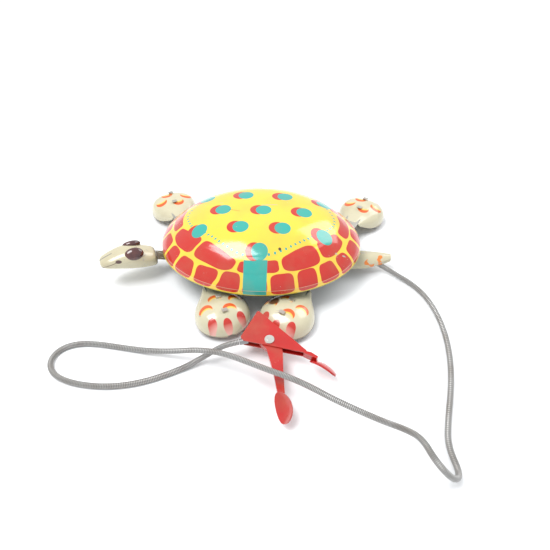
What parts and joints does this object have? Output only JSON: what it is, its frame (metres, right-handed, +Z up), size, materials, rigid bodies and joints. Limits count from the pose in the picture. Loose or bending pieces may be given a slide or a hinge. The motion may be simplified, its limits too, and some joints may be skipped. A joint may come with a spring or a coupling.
{
  "type": "squeeze-cable tin turtle toy",
  "caption": "Tin toy turtle on small wheels, worked by a squeeze grip through a coiled cable that swings its legs and head.",
  "frame": {"origin": "middle of the toy and grip's bounding box, on the floor, without the cable sheath", "axes": "+Z up from the floor, +X along the shell from head to tail, -Y towards the squeeze grip"},
  "size_m": [0.2032, 0.2051, 0.0401],
  "materials": {
    "shell_litho": "gloss printed tin",
    "belly_green": "gloss paint",
    "tail_litho": "gloss printed tin",
    "head_litho": "gloss printed tin",
    "neck_litho": "worn paint",
    "foot_litho": "gloss printed tin",
    "tinplate": "dull tinplate",
    "steel": "plain steel",
    "wheel_black": "matte",
    "spring_steel": "wound wire",
    "grip_red": "gloss enamel",
    "bright_rivet": "bright",
    "cable_steel": "close-wound wire"
  },
  "bodies": {
    "body": {"upper_shell": "shell_litho", "belly_pan": "belly_green", "tail": "tail_litho", "front_guide": "tinplate", "rear_guide": "tinplate", "spring_post": "tinplate", "return_spring": "spring_steel", "cable_clamp": "tinplate", "body_ferrule": "steel", "front_pivot_rivet": "steel", "rear_pivot_rivet": "steel", "front_washer": "tinplate", "rear_washer": "tinplate", "cable_sheath": "cable_steel", "grip_ferrule": "steel", "grip_housing": "grip_red", "grip_rivet": "bright_rivet"},
    "front_legs": {"front_leg_bar": "tinplate", "front_crank_pin": "steel", "front_left_foot": "foot_litho", "front_left_fork": "tinplate", "front_left_axle": "steel", "front_right_foot": "foot_litho", "front_right_fork": "tinplate", "front_right_axle": "steel", "neck_strip": "neck_litho", "head": "head_litho"},
    "rear_legs": {"rear_leg_bar": "tinplate", "rear_crank_pin": "steel", "rear_left_foot": "foot_litho", "rear_left_fork": "tinplate", "rear_left_axle": "steel", "rear_right_foot": "foot_litho", "rear_right_fork": "tinplate", "rear_right_axle": "steel"},
    "front_left_wheel": {"front_left_wheel": "wheel_black"},
    "front_right_wheel": {"front_right_wheel": "wheel_black"},
    "rear_left_wheel": {"rear_left_wheel": "wheel_black"},
    "rear_right_wheel": {"rear_right_wheel": "wheel_black"},
    "slider": {"slider": "tinplate", "slider_hook": "tinplate", "drive_wire": "steel"},
    "lever": {"squeeze_lever": "grip_red", "anchor_pin": "steel"}
  },
  "joints": [
    {"name": "grip_squeeze", "type": "hinge", "parent": "body", "child": "lever", "pos_m": [0.0157, -0.04742, 0.0124], "axis": [0, -0.1628, 0.9867], "range_deg": [0, 36]},
    {"name": "slider_slide", "type": "slide", "parent": "body", "child": "slider", "axis": [-1, 0, 0], "range_m": [0, 0.00803]},
    {"name": "front_swing", "type": "hinge", "parent": "body", "child": "front_legs", "pos_m": [-0.0338, 0.02408, 0.011], "axis": [0, 0, 1], "range_deg": [-50, 0]},
    {"name": "rear_swing", "type": "hinge", "parent": "body", "child": "rear_legs", "pos_m": [0.0462, 0.02408, 0.011], "axis": [0, 0, 1], "range_deg": [0, 50]},
    {"name": "front_left_roll", "type": "hinge", "parent": "front_legs", "child": "front_left_wheel", "pos_m": [-0.01098, -0.02486, 0.0046], "axis": [-0.4226, 0.9063, 0], "continuous": true},
    {"name": "front_right_roll", "type": "hinge", "parent": "front_legs", "child": "front_right_wheel", "pos_m": [-0.05662, 0.07302, 0.0046], "axis": [-0.4226, 0.9063, 0], "continuous": true},
    {"name": "rear_left_roll", "type": "hinge", "parent": "rear_legs", "child": "rear_left_wheel", "pos_m": [0.02338, -0.02486, 0.0046], "axis": [0.4226, 0.9063, 0], "continuous": true},
    {"name": "rear_right_roll", "type": "hinge", "parent": "rear_legs", "child": "rear_right_wheel", "pos_m": [0.06902, 0.07302, 0.0046], "axis": [0.4226, 0.9063, 0], "continuous": true}
  ],
  "couplings": [
    {"joint": "slider_slide", "follows": "grip_squeeze", "m_per_rad": 0.01277},
    {"joint": "front_swing", "follows": "grip_squeeze", "ratio": -1.3888},
    {"joint": "rear_swing", "follows": "grip_squeeze", "ratio": 1.3888}
  ]
}
